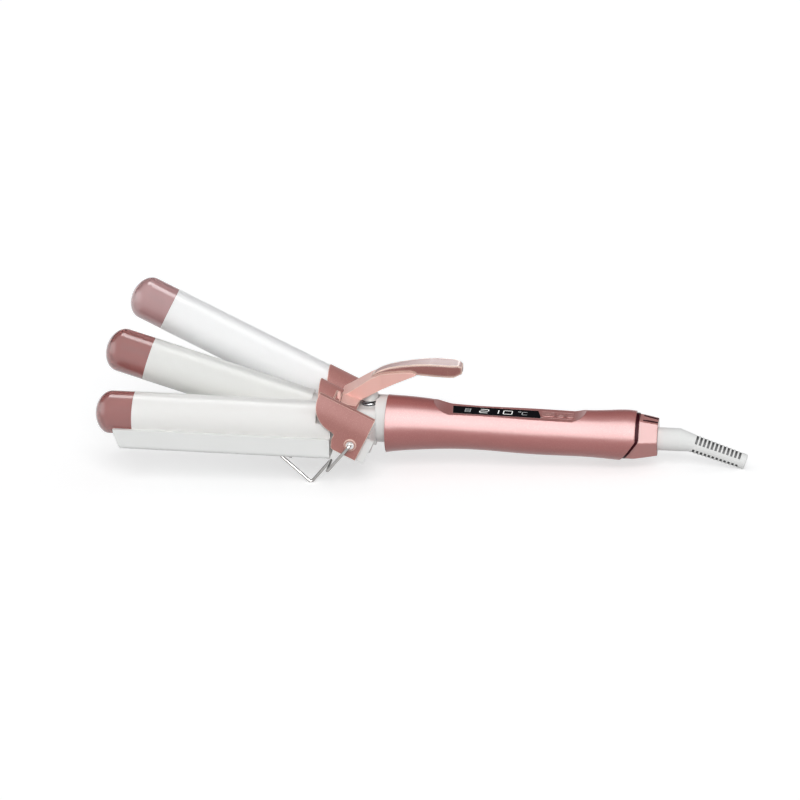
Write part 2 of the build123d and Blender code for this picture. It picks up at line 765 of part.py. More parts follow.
def strain_relief():
    """Swivel flange, straight shank and slotted tapering tail in one moulding."""
    flange_high = swivel_flange_rear()
    flange_low = flange_high - flange_thickness
    neck = 5.0
    shank = sleeve_straight - 2.0
    body = cylinder_x(flange_radius, flange_low, flange_high, 0, swivel_axis)
    body += cylinder_x(sleeve_radius, flange_high - 0.5, shank, 0, swivel_axis)
    start = across(shank, swivel_axis) * Circle(sleeve_radius)
    tail = tail_frame()
    body += loft([start, tail * (across(neck, 0) * Circle(sleeve_neck_radius))])
    cone = Cone(sleeve_neck_radius, sleeve_end_radius, sleeve_tail - neck)
    body += tail * Pos((neck + sleeve_tail) / 2, 0, 0) * Rot(0, 90, 0) * cone
    tip_edge = body.edges().filter_by(GeomType.CIRCLE).sort_by(Axis.X)[-1]
    body = fillet(tip_edge, sleeve_tip_round)
    body -= cylinder_x(core_radius, flange_low - 1, flange_high + 2, 0, swivel_axis)
    body -= cord_way(liner_radius, flange_high + 1, 5)
    for index in range(slot_count):
        middle = slot_start + index * slot_pitch
        low = middle - slot_width / 2
        high = middle + slot_width / 2
        body -= tail * block(low, high, -9, 9, spine_half, 9)
        body -= tail * block(low, high, -9, 9, -9, -spine_half)
    return body


def swivel_core():
    """Black inner tube that carries the slip rings and guides the cord."""
    flange_high = swivel_flange_rear()
    front = flange_high - flange_thickness - core_length
    core = cylinder_x(core_radius - 0.02, front, flange_high + 1.5, 0, swivel_axis)
    core += cord_way(liner_radius - 0.02, flange_high + 1, -core_inset)
    return core - cord_way(cord_bore, front - 1, 5)


# Stand

def leg_point(distance, y):
    angle = radians(leg_angle)
    return (-distance * cos(angle), y, -distance * sin(angle))


def arm_point(height, y):
    """A point on the rising arm of a foot, at a given height."""
    foot = leg_point(leg_length, y)
    run = (height - foot[2]) / sin(radians(foot_angle))
    return (foot[0] - run * cos(radians(foot_angle)), y, height)


def stand_wire():
    """One bent wire: a leg on each side, two feet, and a bump that bears on the guard."""
    inner_end = pin_reach - pin_eye_depth + 0.8
    bump = -guard_bottom - body_gap - wire_radius
    bar = centre_axis_height - barrel_radius - wire_radius - bar_gap
    legs = []
    for side in (-1, 1):
        legs.append([(0, side * inner_end, 0), leg_point(0, side * leg_offset),
                     leg_point(step_at, side * leg_offset), leg_point(step_at, side * foot_offset),
                     leg_point(leg_length, side * foot_offset)])
    bridge = [arm_point(bump, -foot_offset), arm_point(bump, bump_width - foot_offset),
              arm_point(bar, bump_width - foot_offset), arm_point(bar, foot_offset)]
    leg_bends = [1.2, wire_bend, wire_bend, foot_bend]
    bends = leg_bends + [wire_bend] * len(bridge) + leg_bends[::-1]
    path = FilletPolyline(*legs[0], *bridge, *legs[1][::-1], radius=bends)
    start = Plane(origin=path @ 0, z_dir=path % 0)
    return sweep(start * Circle(wire_radius), path=path)


# Assembly

def all_pieces():
    pieces = {}
    pieces["handle_sleeve"] = handle_sleeve()
    pieces["display_window"] = display_window()
    pieces["display_module"] = display_module()
    pieces["circuit_board"] = circuit_board()
    pieces["tact_switches"] = tact_switches()
    pieces["power_parts"] = power_parts()
    pieces["seam_ring"] = seam_ring()
    pieces["end_cap"] = end_cap()
    pieces["swivel_retainer"] = swivel_retainer()
    pieces["brush_contacts"] = brush_contacts()
    pieces["jaw_yoke"] = jaw_yoke()
    pieces["heater_leads"] = heater_leads()
    pieces["hinge_pin"] = hinge_pin()
    pieces["hinge_washers"] = hinge_washers()
    pieces["heat_guard"] = heat_guard()
    pieces["near_barrel"] = near_barrel()
    pieces["near_tip"] = near_tip()
    pieces["near_heater"] = heater_core(-1, near_axis_height, near_root)
    pieces["centre_arm"] = centre_opened(centre_arm())
    pieces["centre_barrel"] = centre_opened(barrel_tube(0, centre_axis_height, centre_root))
    pieces["centre_tip"] = centre_opened(tip_cap(0, centre_axis_height, centre_reach))
    pieces["centre_heater"] = centre_opened(heater_core(0, centre_axis_height, centre_root))
    pieces["saddle"] = opened(saddle())
    pieces["cheek_liners"] = opened(cheek_liners())
    pieces["far_plug"] = opened(far_plug())
    pieces["far_barrel"] = opened(far_barrel())
    pieces["far_tip"] = opened(tip_cap(1, far_axis_height, far_reach))
    pieces["far_heater"] = opened(heater_core(1, far_axis_height, saddle_front))
    pieces["lever_arm"] = opened(lever_arm())
    pieces["lever_pad"] = opened(lever_pad())
    pieces["spring_cup"] = opened(spring_cup())
    pieces["clamp_spring"] = clamp_spring()
    pieces["stand_wire"] = stand_wire()
    for name, x, half_length, half_width in button_places:
        pieces[name] = button(x, half_length, half_width)
    pieces["strain_relief"] = strain_relief()
    pieces["swivel_core"] = swivel_core()
    pieces["slip_rings"] = slip_rings()
    return pieces


def resting_place(pieces):
    """Tilt the waver until its feet and the cord sleeve both touch the table."""
    foot = leg_point(leg_length, 0)
    foot_radius = foot_bend + wire_radius
    lean = radians(leg_angle + 180 - foot_angle) / 2
    half_corner = radians(180 - leg_angle - foot_angle) / 2
    reach = foot_bend / sin(half_corner)
    tail = radians(sleeve_bend)
    along = sleeve_tail - sleeve_tip_round
    below = sleeve_end_radius - sleeve_tip_round
    across_x = sleeve_straight + along * cos(tail) - below * sin(tail) - foot[0] - reach * cos(lean)
    across_z = swivel_axis - along * sin(tail) - below * cos(tail) - foot[2] - reach * sin(lean)
    spread = sqrt(across_x ** 2 + across_z ** 2)
    tilt = degrees(atan2(across_z, across_x) - asin((sleeve_tip_round - foot_radius) / spread))
    turned = Rot(0, tilt, 0)
    bounds = Compound([turned * piece for piece in pieces.values()]).bounding_box()
    shift = (-bounds.center().X, -bounds.center().Y, -bounds.min.Z)
    print("rest tilt", tilt, "hinge at", shift)
    return Pos(*shift) * turned


os.makedirs("parts", exist_ok=True)
pieces = all_pieces()
place = resting_place(pieces)
for name, piece in pieces.items():
    export_step(place * piece, "parts/" + name + ".step")
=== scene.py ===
import bmesh
import bpy
import json
from math import cos, pi, radians, sin
from mathutils import Matrix, Vector


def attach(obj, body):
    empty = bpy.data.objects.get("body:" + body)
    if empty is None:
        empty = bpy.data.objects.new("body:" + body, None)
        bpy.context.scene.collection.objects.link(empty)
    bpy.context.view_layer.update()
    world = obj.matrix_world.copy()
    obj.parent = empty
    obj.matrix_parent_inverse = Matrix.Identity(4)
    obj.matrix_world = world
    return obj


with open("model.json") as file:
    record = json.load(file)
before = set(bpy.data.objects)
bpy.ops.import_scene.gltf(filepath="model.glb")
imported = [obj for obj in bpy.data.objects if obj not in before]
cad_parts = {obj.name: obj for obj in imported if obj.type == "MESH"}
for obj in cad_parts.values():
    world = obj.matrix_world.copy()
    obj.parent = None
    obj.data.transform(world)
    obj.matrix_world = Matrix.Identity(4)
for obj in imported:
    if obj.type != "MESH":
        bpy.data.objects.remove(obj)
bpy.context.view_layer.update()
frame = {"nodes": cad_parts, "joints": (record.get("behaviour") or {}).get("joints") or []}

nodes = frame["nodes"]
joints = {joint["name"]: joint for joint in frame["joints"]}
mm = 0.001

# the tool frame has its origin on the hinge, +X along the handle and +Z up;
# the waver stands on its wire foot, so that frame is tilted in the row
hinge = Vector(joints["clamp_hinge"]["pos_m"])
handleDir = Vector(joints["cord_swivel"]["axis"]).normalized()
sideDir = Vector((0, 1, 0))
toolAxes = Matrix((handleDir, sideDir, handleDir.cross(sideDir))).transposed().to_4x4()
toolFrame = Matrix.Translation(hinge) @ toolAxes

cameraView = {"elevation": 20, "turn": 7, "roll": 0.47, "distance": 3.0,
              "aim": (25.63 * mm, 0, 14.39 * mm), "lens": 212.24, "sensor": 36, "reach": 20}


def placeCamera():
    lift, turn, roll = (radians(cameraView[key]) for key in ("elevation", "turn", "roll"))
    forward = Vector((-sin(turn) * cos(lift), cos(turn) * cos(lift), -sin(lift)))
    right = Vector((cos(turn), sin(turn), 0))
    up = right.cross(forward)
    rolledRight = cos(roll) * right + sin(roll) * up
    rolledUp = cos(roll) * up - sin(roll) * right
    axes = Matrix((rolledRight, rolledUp, -forward)).transposed().to_4x4()
    spot = Vector(cameraView["aim"]) - forward * cameraView["distance"]
    camera = bpy.data.objects.new("camera", bpy.data.cameras.new("camera"))
    camera.data.lens = cameraView["lens"]
    camera.data.sensor_width = cameraView["sensor"]
    camera.data.clip_end = cameraView["reach"]
    camera.matrix_world = toolFrame @ Matrix.Translation(spot) @ axes
    bpy.context.scene.collection.objects.link(camera)
    bpy.context.scene.camera = camera


placeCamera()
print("camera placed")


def addNode(tree, kind, **settings):
    node = tree.nodes.new("ShaderNode" + kind)
    for name, value in settings.items():
        setattr(node, name, value)
    return node


def addMath(tree, operation, first, second, clamp=False):
    node = addNode(tree, "Math", operation=operation, use_clamp=clamp)
    for socket, value in zip(node.inputs, (first, second)):
        if isinstance(value, bpy.types.NodeSocket):
            tree.links.new(value, socket)
        else:
            socket.default_value = value
    return node.outputs[0]


def addMix(tree, mask, first, second):
    # the mask picks between two colours; sockets 6 and 7 and output 2 are the ones for colour
    node = addNode(tree, "Mix", data_type="RGBA")
    tree.links.new(mask, node.inputs["Factor"])
    for socket, value in zip((node.inputs[6], node.inputs[7]), (first, second)):
        if isinstance(value, bpy.types.NodeSocket):
            tree.links.new(value, socket)
        else:
            socket.default_value = value + (1,)
    return node.outputs[2]


def addRange(tree, value, low, high, newLow, newHigh):
    node = addNode(tree, "MapRange")
    tree.links.new(value, node.inputs["Value"])
    for name, given in (("From Min", low), ("From Max", high), ("To Min", newLow), ("To Max", newHigh)):
        if isinstance(given, bpy.types.NodeSocket):
            tree.links.new(given, node.inputs[name])
        else:
            node.inputs[name].default_value = given
    return node.outputs["Result"]


def newMaterial(name):
    material = bpy.data.materials.new(name)
    material.use_nodes = True
    tree = material.node_tree
    return material, tree, tree.nodes["Principled BSDF"]


# floor and backdrop are one sheet of white paper; the eye and the polished pieces
# see it a little brighter than it is lit, so that only the shadow shows on it
studio = {"floorSize": 12.0, "paper": (0.62, 0.62, 0.62), "paperLift": 0.54,
          "sky": (0.80, 0.81, 0.82), "skyStrength": 0.56}
polished = ["near_tip", "centre_tip", "far_tip", "near_barrel", "centre_barrel", "far_barrel"]
leverPieces = ["lever_pad", "lever_arm"]
matteWhites = ["jaw_yoke", "heat_guard", "cheek_liners", "strain_relief"]
# elevation is counted up from the front, so past 90 a light stands behind the waver;
# the key gives the plain light and the shadow, the others only shine in the gloss
lamps = {
    "keyLight": {"elevation": 38, "swing": 10, "spread": 30, "strength": 1.6, "hideFrom": "glossy"},
    "shineLight": {"elevation": 40, "swing": 0, "spread": 84, "strength": 13.6, "hideFrom": "diffuse",
                   "link": ("EXCLUDE", polished + leverPieces + matteWhites)},
    "backLight": {"elevation": 150, "swing": 0, "spread": 44, "strength": 7.0, "hideFrom": "diffuse",
                  "link": ("INCLUDE", leverPieces)},
    "endLight": {"elevation": 12, "swing": -80, "spread": 56, "strength": 0.7, "hideFrom": "diffuse",
                 "link": ("INCLUDE", polished)},
}
# a long strip over the caps draws the pale line along the top of each
capStrip = {"place": (0.2, 0.24, 1.15), "aim": (0.1, 0, 0.05), "size": (1.6, 0.42), "power": 8.4}
# a dark cloth hung over the back of the set, seen only in the polish of the upper sides
darkCloth = {"radius": 1.5, "low": 110, "high": 166, "wide": 5.0, "steps": 12, "color": (0.05, 0.045, 0.045)}


def seenDirectly(tree):
    rays = addNode(tree, "LightPath")
    eyeOrGloss = addMath(tree, "MAXIMUM", rays.outputs["Is Camera Ray"], rays.outputs["Is Glossy Ray"])
    return addMath(tree, "MAXIMUM", eyeOrGloss, rays.outputs["Is Transmission Ray"])


def makeFloor():
    bpy.ops.mesh.primitive_plane_add(size=studio["floorSize"])
    floor = bpy.context.object
    floor.name = "studio_floor"
    material, tree, shader = newMaterial("floorPaper")
    tree.nodes.remove(shader)
    paper = addNode(tree, "BsdfDiffuse")
    paper.inputs["Color"].default_value = studio["paper"] + (1,)
    lift = addNode(tree, "Emission")
    shown = addMath(tree, "MULTIPLY", seenDirectly(tree), studio["paperLift"])
    tree.links.new(shown, lift.inputs["Strength"])
    both = addNode(tree, "AddShader")
    tree.links.new(paper.outputs[0], both.inputs[0])
    tree.links.new(lift.outputs[0], both.inputs[1])
    tree.links.new(both.outputs[0], tree.nodes["Material Output"].inputs["Surface"])
    floor.data.materials.append(material)


def makeWorld():
    world = bpy.data.worlds.new("studioWorld")
    world.use_nodes = True
    bpy.context.scene.world = world
    tree = world.node_tree
    light = tree.nodes["Background"]
    light.inputs["Color"].default_value = studio["sky"] + (1,)
    light.inputs["Strength"].default_value = studio["skyStrength"]
    white = addNode(tree, "Background")
    white.inputs["Color"].default_value = (1, 1, 1, 1)
    mix = addNode(tree, "MixShader")
    tree.links.new(seenDirectly(tree), mix.inputs["Fac"])
    tree.links.new(light.outputs[0], mix.inputs[1])
    tree.links.new(white.outputs[0], mix.inputs[2])
    tree.links.new(mix.outputs[0], tree.nodes["World Output"].inputs["Surface"])


def linkLamp(lamp, state, names):
    lit = bpy.data.collections.new(lamp.name + "Receivers")
    for name in names:
        lit.objects.link(nodes[name])
    for entry in lit.collection_objects:
        entry.light_linking.link_state = state
    lamp.light_linking.receiver_collection = lit


def addLamp(name, spec):
    light = bpy.data.lights.new(name, "SUN")
    light.angle = radians(spec["spread"])
    light.energy = spec["strength"]
    lamp = bpy.data.objects.new(name, light)
    lift, swing = radians(spec["elevation"]), radians(spec["swing"])
    towards = Vector((sin(swing) * cos(lift), -cos(swing) * cos(lift), sin(lift)))
    lamp.rotation_euler = towards.to_track_quat("Z", "Y").to_euler()
    setattr(lamp, "visible_" + spec["hideFrom"], False)
    bpy.context.scene.collection.objects.link(lamp)
    if "link" in spec:
        linkLamp(lamp, *spec["link"])


def addCapStrip():
    light = bpy.data.lights.new("capStrip", "AREA")
    light.shape = "RECTANGLE"
    light.size, light.size_y = capStrip["size"]
    light.energy = capStrip["power"]
    strip = bpy.data.objects.new("capStrip", light)
    strip.location = capStrip["place"]
    strip.rotation_euler = (Vector(capStrip["aim"]) - strip.location).to_track_quat("-Z", "Y").to_euler()
    strip.visible_camera = strip.visible_diffuse = False
    bpy.context.scene.collection.objects.link(strip)
    linkLamp(strip, "INCLUDE", polished)


def makeDarkCloth():
    reach, half = darkCloth["radius"], darkCloth["wide"] / 2
    steps = darkCloth["steps"]
    points = []
    for i in range(steps + 1):
        angle = radians(darkCloth["low"] + (darkCloth["high"] - darkCloth["low"]) * i / steps)
        points += [(side * half, -reach * cos(angle), reach * sin(angle)) for side in (-1, 1)]
    faces = [(2 * i, 2 * i + 1, 2 * i + 3, 2 * i + 2) for i in range(steps)]
    mesh = bpy.data.meshes.new("dark_cloth")
    mesh.from_pydata(points, [], faces)
    cloth = bpy.data.objects.new("dark_cloth", mesh)
    material, tree, shader = newMaterial("clothFelt")
    shader.inputs["Base Color"].default_value = darkCloth["color"] + (1,)
    shader.inputs["Roughness"].default_value = 1.0
    mesh.materials.append(material)
    bpy.context.scene.collection.objects.link(cloth)
    cloth.visible_camera = cloth.visible_diffuse = cloth.visible_shadow = cloth.visible_transmission = False


makeFloor()
makeWorld()
for lampName, lampSpec in lamps.items():
    addLamp(lampName, lampSpec)
addCapStrip()
makeDarkCloth()
bpy.context.scene.view_settings.view_transform = "Standard"
print("studio lit")


def startGroup(name, inputs, outputs):
    group = bpy.data.node_groups.new(name, "ShaderNodeTree")
    for label, value in inputs.items():
        socket = group.interface.new_socket(name=label, in_out="INPUT", socket_type="NodeSocketFloat")
        socket.default_value = value
    for label, kind in outputs.items():
        group.interface.new_socket(name=label, in_out="OUTPUT", socket_type="NodeSocket" + kind)
    return group, group.nodes.new("NodeGroupInput").outputs, group.nodes.new("NodeGroupOutput").inputs


def addNoise(tree, scale, detail, stretch=None):
    place = addNode(tree, "TexCoord").outputs["Object"]
    if stretch:
        spread = addNode(tree, "VectorMath", operation="MULTIPLY")
        tree.links.new(place, spread.inputs[0])
        spread.inputs[1].default_value = stretch
        place = spread.outputs[0]
    noise = addNode(tree, "TexNoise")
    noise.inputs["Detail"].default_value = detail
    tree.links.new(place, noise.inputs["Vector"])
    if isinstance(scale, bpy.types.NodeSocket):
        tree.links.new(scale, noise.inputs["Scale"])
    else:
        noise.inputs["Scale"].default_value = scale
    return noise.outputs["Fac"]


grainLook = {"cloudScale": 38, "cloudShare": 0.6, "cloudSpan": (0.35, 0.65),
             "rubScale": 210, "rubStretch": (0.35, 1, 1), "rubShare": 0.4, "markSpan": (0.38, 0.62)}
drawnLook = {"lineStretch": (0.04, 1, 1), "ringStretch": (1, 0.05, 0.05), "lineShare": 0.7, "ringShare": 0.3,
             "lineSpan": (0.3, 0.7)}


def buildMouldGrain():
    # fine spark-eroded texture for the height, slow handling marks for the gloss
    group, given, made = startGroup("mouldGrain", {"Scale": 2400, "Smooth": 0.3, "Rough": 0.4},
                                    {"Height": "Float", "Roughness": "Float", "Cloud": "Float"})
    fine = addNoise(group, given["Scale"], 3.0)
    cloud = addNoise(group, grainLook["cloudScale"], 3.0)
    rub = addNoise(group, grainLook["rubScale"], 4.0, grainLook["rubStretch"])
    cloudPart = addMath(group, "MULTIPLY", cloud, grainLook["cloudShare"])
    rubPart = addMath(group, "MULTIPLY", rub, grainLook["rubShare"])
    marks = addMath(group, "ADD", cloudPart, rubPart)
    gloss = addRange(group, marks, *grainLook["markSpan"], given["Smooth"], given["Rough"])
    group.links.new(fine, made["Height"])
    group.links.new(gloss, made["Roughness"])
    group.links.new(addRange(group, cloud, *grainLook["cloudSpan"], 0, 1), made["Cloud"])
    return group


def buildSoftEdge():
    # rounds every edge a little and says where the edges are
    group, given, made = startGroup("softEdge", {"Radius": 0.0006, "Gain": 6},
                                    {"Mask": "Float", "Normal": "Vector"})
    rounded = addNode(group, "Bevel", samples=8)
    group.links.new(given["Radius"], rounded.inputs["Radius"])
    flat = addNode(group, "NewGeometry")
    turn = addNode(group, "VectorMath", operation="DOT_PRODUCT")
    group.links.new(rounded.outputs["Normal"], turn.inputs[0])
    group.links.new(flat.outputs["Normal"], turn.inputs[1])
    bent = addMath(group, "SUBTRACT", 1.0, turn.outputs["Value"])
    group.links.new(addMath(group, "MULTIPLY", bent, given["Gain"], clamp=True), made["Mask"])
    group.links.new(rounded.outputs["Normal"], made["Normal"])
    return group


def buildMetalFleck():
    # mica flakes in the pink paint: a few cells of a fine mosaic are brighter
    group, given, made = startGroup("metalFleck", {"Scale": 5200, "Share": 0.25}, {"Mask": "Float"})
    cells = addNode(group, "TexVoronoi")
    group.links.new(addNode(group, "TexCoord").outputs["Object"], cells.inputs["Vector"])
    group.links.new(given["Scale"], cells.inputs["Scale"])
    tone = addNode(group, "SeparateColor")
    group.links.new(cells.outputs["Color"], tone.inputs[0])
    bright = addMath(group, "SUBTRACT", 1.0, given["Share"])
    group.links.new(addRange(group, tone.outputs[0], bright, 1.0, 0, 1), made["Mask"])
    return group


def buildDrawnMarks():
    # fine lines left by drawing or extruding along X, crossed by fainter rings from turning
    group, given, made = startGroup("drawnMarks", {"Scale": 900, "Smooth": 0.15, "Rough": 0.35},
                                    {"Height": "Float", "Roughness": "Float"})
    lines = addNoise(group, given["Scale"], 4.0, drawnLook["lineStretch"])
    rings = addNoise(group, given["Scale"], 2.0, drawnLook["ringStretch"])
    linePart = addMath(group, "MULTIPLY", lines, drawnLook["lineShare"])
    ringPart = addMath(group, "MULTIPLY", rings, drawnLook["ringShare"])
    gloss = addRange(group, lines, *drawnLook["lineSpan"], given["Smooth"], given["Rough"])
    group.links.new(addMath(group, "ADD", linePart, ringPart), made["Height"])
    group.links.new(gloss, made["Roughness"])
    return group


mouldGrain = buildMouldGrain()
softEdge = buildSoftEdge()
metalFleck = buildMetalFleck()
drawnMarks = buildDrawnMarks()
print("shader groups built")


def addGroup(tree, group, **values):
    node = addNode(tree, "Group", node_tree=group)
    for name, value in values.items():
        node.inputs[name].default_value = value
    return node.outputs


def addBump(tree, height, depth, normal=None):
    bump = addNode(tree, "Bump")
    bump.inputs["Distance"].default_value = depth * mm
    tree.links.new(height, bump.inputs["Height"])
    if normal:
        tree.links.new(normal, bump.inputs["Normal"])
    return bump.outputs["Normal"]


def makePlastic(name, look):
    material, tree, shader = newMaterial(name)
    grain = addGroup(tree, mouldGrain, Scale=look["grainScale"], Smooth=look["smooth"], Rough=look["rough"])
    edges = addGroup(tree, softEdge, Radius=look.get("edgeRadius", 0.4) * mm, Gain=look.get("edgeGain", 5))
    deep = look.get("deep", tuple(0.93 * part for part in look["base"]))
    color = addMix(tree, grain["Cloud"], look["base"], deep)
    if "fleck" in look:
        flakes = addGroup(tree, metalFleck, Scale=look["fleckScale"], Share=look["fleckShare"])
        color = addMix(tree, flakes["Mask"], color, look["fleck"])
    # the edge colour is painted along every edge: a painted highlight where it is paler than the base, near
    # black on the end cap
    color = addMix(tree, edges["Mask"], color, look.get("edge", look["base"]))
    tree.links.new(color, shader.inputs["Base Color"])
    tree.links.new(grain["Roughness"], shader.inputs["Roughness"])
    bump = addBump(tree, grain["Height"], look["grainDepth"], edges["Normal"])
    tree.links.new(bump, shader.inputs["Normal"])
    shader.inputs["Specular IOR Level"].default_value = look.get("level", 0.5)
    shader.inputs["Coat Weight"].default_value = look.get("coat", 0.0)
    shader.inputs["Coat Roughness"].default_value = look.get("coatRough", 0.1)
    return material


tarnishMarks = {"scale": 160, "span": (0.4, 0.7)}


def makeMetal(name, look):
    material, tree, shader = newMaterial(name)
    marks = addGroup(tree, drawnMarks, Scale=look["lineScale"], Smooth=look["smooth"], Rough=look["rough"])
    tarnish = addRange(tree, addNoise(tree, tarnishMarks["scale"], 3.0), *tarnishMarks["span"], 0, 1)
    tree.links.new(addMix(tree, tarnish, look["base"], look["tarnish"]), shader.inputs["Base Color"])
    tree.links.new(marks["Roughness"], shader.inputs["Roughness"])
    tree.links.new(addBump(tree, marks["Height"], look["lineDepth"]), shader.inputs["Normal"])
    shader.inputs["Metallic"].default_value = 1.0
    return material


def dress(material, *names):
    for name in names:
        nodes[name].data.materials.clear()
        nodes[name].data.materials.append(material)


# handle, end cap and the three keys: satin rose paint with mica in it
handlePaint = {"base": (0.385, 0.128, 0.120), "deep": (0.365, 0.118, 0.110), "edge": (0.48, 0.21, 0.19),
               "fleck": (0.50, 0.22, 0.20), "fleckScale": 5200, "fleckShare": 0.14,
               "grainScale": 2600, "grainDepth": 0.004, "smooth": 0.29, "rough": 0.31,
               "edgeRadius": 0.6, "edgeGain": 3, "level": 0.68}
keyPaint = dict(handlePaint, base=(0.44, 0.19, 0.17), edge=(0.66, 0.38, 0.34), edgeRadius=0.3, edgeGain=8)
capPaint = dict(handlePaint, base=(0.52, 0.23, 0.215), deep=(0.49, 0.21, 0.195), edge=(0.07, 0.012, 0.016),
                smooth=0.16, rough=0.2, level=0.45, edgeRadius=0.9, edgeGain=4)
dress(makePlastic("handlePaint", handlePaint), "handle_sleeve")
dress(makePlastic("keyPaint", keyPaint), "power_button", "plus_button", "minus_button")
dress(makePlastic("capPaint", capPaint), "end_cap")

seamTrim = {"base": (0.040, 0.004, 0.008), "deep": (0.028, 0.003, 0.006), "edge": (0.08, 0.015, 0.018),
            "grainScale": 1800, "grainDepth": 0.002, "smooth": 0.26, "rough": 0.34,
            "edgeRadius": 0.2, "level": 0.04}
dress(makePlastic("seamTrim", seamTrim), "seam_ring")
print("handle dressed")

# saddle, lever and thumb pad: the same rose, moulded rather than painted; their pale rims are a painted
# highlight
saddlePink = {"base": (0.47, 0.215, 0.195), "deep": (0.42, 0.185, 0.165), "edge": (0.95, 0.68, 0.58),
              "fleck": (0.56, 0.29, 0.26), "fleckScale": 5200, "fleckShare": 0.14,
              "grainScale": 2200, "grainDepth": 0.006, "smooth": 0.34, "rough": 0.42,
              "edgeRadius": 0.9, "edgeGain": 10, "level": 0.08}
# the pad's wide near-white rim is a painted highlight along its top edge
padPink = dict(saddlePink, base=(0.33, 0.135, 0.118), deep=(0.30, 0.12, 0.105), edge=(0.98, 0.76, 0.66),
               fleck=(0.42, 0.2, 0.175), edgeRadius=2.6, edgeGain=14, level=0.3)
leverPink = dict(saddlePink, base=(0.88, 0.53, 0.47), deep=(0.85, 0.49, 0.43), edge=(0.95, 0.70, 0.61),
                 fleck=(0.85, 0.55, 0.48))
dress(makePlastic("saddlePink", saddlePink), "saddle")
dress(makePlastic("padPink", padPink), "lever_pad")
dress(makePlastic("leverPink", leverPink), "lever_arm")
print("saddle and lever dressed")

# tips: glossy heat-proof caps; the far one is painted paler, painted light standing for less shade
tipGloss = {"edge": (0.45, 0.22, 0.21), "grainScale": 900, "grainDepth": 0.002, "smooth": 0.10,
            "rough": 0.16, "edgeRadius": 0.4, "edgeGain": 2, "level": 0.6, "coat": 0.6, "coatRough": 0.04}
tipPaintedLightTones = {"near_tip": (0.37, 0.135, 0.125), "centre_tip": (0.365, 0.14, 0.13),
            "far_tip": (0.52, 0.30, 0.30)}
for tipName, tone in tipPaintedLightTones.items():
    tipLook = dict(tipGloss, base=tone, deep=tuple(0.92 * part for part in tone))
    dress(makePlastic(tipName + "_gloss", tipLook), tipName)

# barrels: satin ceramic over aluminium, an even tone on each without clouds; the three tones are painted
# light and shade, the centre barrel painted darkest and the far one palest
barrelCoat = {"base": (0.81, 0.81, 0.785), "deep": (0.81, 0.81, 0.785), "edge": (0.87, 0.87, 0.85),
              "grainScale": 3200, "grainDepth": 0.004, "smooth": 0.28, "rough": 0.285,
              "edgeRadius": 0.3, "edgeGain": 3, "level": 0.5}
nearCoatPaintedLight = dict(barrelCoat, base=(0.89, 0.88, 0.86), deep=(0.89, 0.88, 0.86))
farCoatPaintedLight = dict(barrelCoat, base=(0.95, 0.95, 0.95), deep=(0.95, 0.95, 0.95))
dress(makePlastic("barrelCoat", barrelCoat), "centre_barrel")
dress(makePlastic("nearCoatPaintedLight", nearCoatPaintedLight), "near_barrel")
dress(makePlastic("farCoatPaintedLight", farCoatPaintedLight), "far_barrel")
print("barrels and tips dressed")

# white mouldings
whiteNylon = {"base": (0.86, 0.865, 0.85), "deep": (0.845, 0.85, 0.835), "edge": (0.89, 0.89, 0.88),
              "grainScale": 1700, "grainDepth": 0.010, "smooth": 0.36, "rough": 0.46,
              "edgeRadius": 0.5, "edgeGain": 3}
sleeveRubber = dict(whiteNylon, base=(0.83, 0.83, 0.82), smooth=0.42, rough=0.55, grainDepth=0.014,
                    edgeRadius=0.3)
dress(makePlastic("whiteNylon", whiteNylon), "jaw_yoke", "heat_guard", "cheek_liners", "centre_arm",
      "far_plug", "spring_cup", "swivel_retainer")
dress(makePlastic("sleeveRubber", sleeveRubber), "strain_relief")

# metals
metals = {
    "chromeWire": {"base": (0.40, 0.39, 0.38), "tarnish": (0.30, 0.29, 0.28), "lineScale": 2400,
                   "lineDepth": 0.001, "smooth": 0.05, "rough": 0.11, "on": ["stand_wire"]},
    "springSteel": {"base": (0.58, 0.59, 0.61), "tarnish": (0.42, 0.43, 0.45), "lineScale": 2600,
                    "lineDepth": 0.002, "smooth": 0.14, "rough": 0.28, "on": ["clamp_spring"]},
    "turnedSteel": {"base": (0.62, 0.62, 0.63), "tarnish": (0.46, 0.45, 0.44), "lineScale": 1500,
                    "lineDepth": 0.004, "smooth": 0.2, "rough": 0.36, "on": ["hinge_pin", "hinge_washers"]},
    "contactBrass": {"base": (0.78, 0.58, 0.28), "tarnish": (0.52, 0.36, 0.17), "lineScale": 1800,
                     "lineDepth": 0.003, "smooth": 0.18, "rough": 0.34,
                     "on": ["brush_contacts", "slip_rings"]},
    "heaterAluminium": {"base": (0.72, 0.72, 0.73), "tarnish": (0.56, 0.54, 0.52), "lineScale": 700,
                        "lineDepth": 0.010, "smooth": 0.3, "rough": 0.5,
                        "on": ["near_heater", "centre_heater", "far_heater"]},
}
for metalName, metalLook in metals.items():
    dress(makeMetal(metalName, metalLook), *metalLook["on"])
print("whites and metals dressed")

# what is inside the handle
insideLooks = {
    "moduleBlack": {"base": (0.05, 0.05, 0.055), "grainScale": 1500, "grainDepth": 0.008, "smooth": 0.4,
                    "rough": 0.55, "on": ["display_module"]},
    "switchBlack": {"base": (0.03, 0.03, 0.03), "edge": (0.12, 0.12, 0.12), "grainScale": 1700,
                    "grainDepth": 0.006, "smooth": 0.35, "rough": 0.5,
                    "on": ["tact_switches", "power_parts"]},
    "leadRubber": {"base": (0.014, 0.014, 0.015), "grainScale": 1300, "grainDepth": 0.012, "smooth": 0.5,
                   "rough": 0.7, "on": ["heater_leads", "swivel_core"]},
}
for insideName, insideLook in insideLooks.items():
    dress(makePlastic(insideName, insideLook), *insideLook["on"])

boardMask = {"mask": (0.03, 0.15, 0.06), "copper": (0.10, 0.30, 0.12), "pad": (0.75, 0.72, 0.62),
             "traceScale": 260, "traceGap": 0.06, "padScale": 330, "padSpread": 0.35, "padRim": (0.12, 0.15),
             "gloss": (0.35, 0.2), "relief": 0.03}


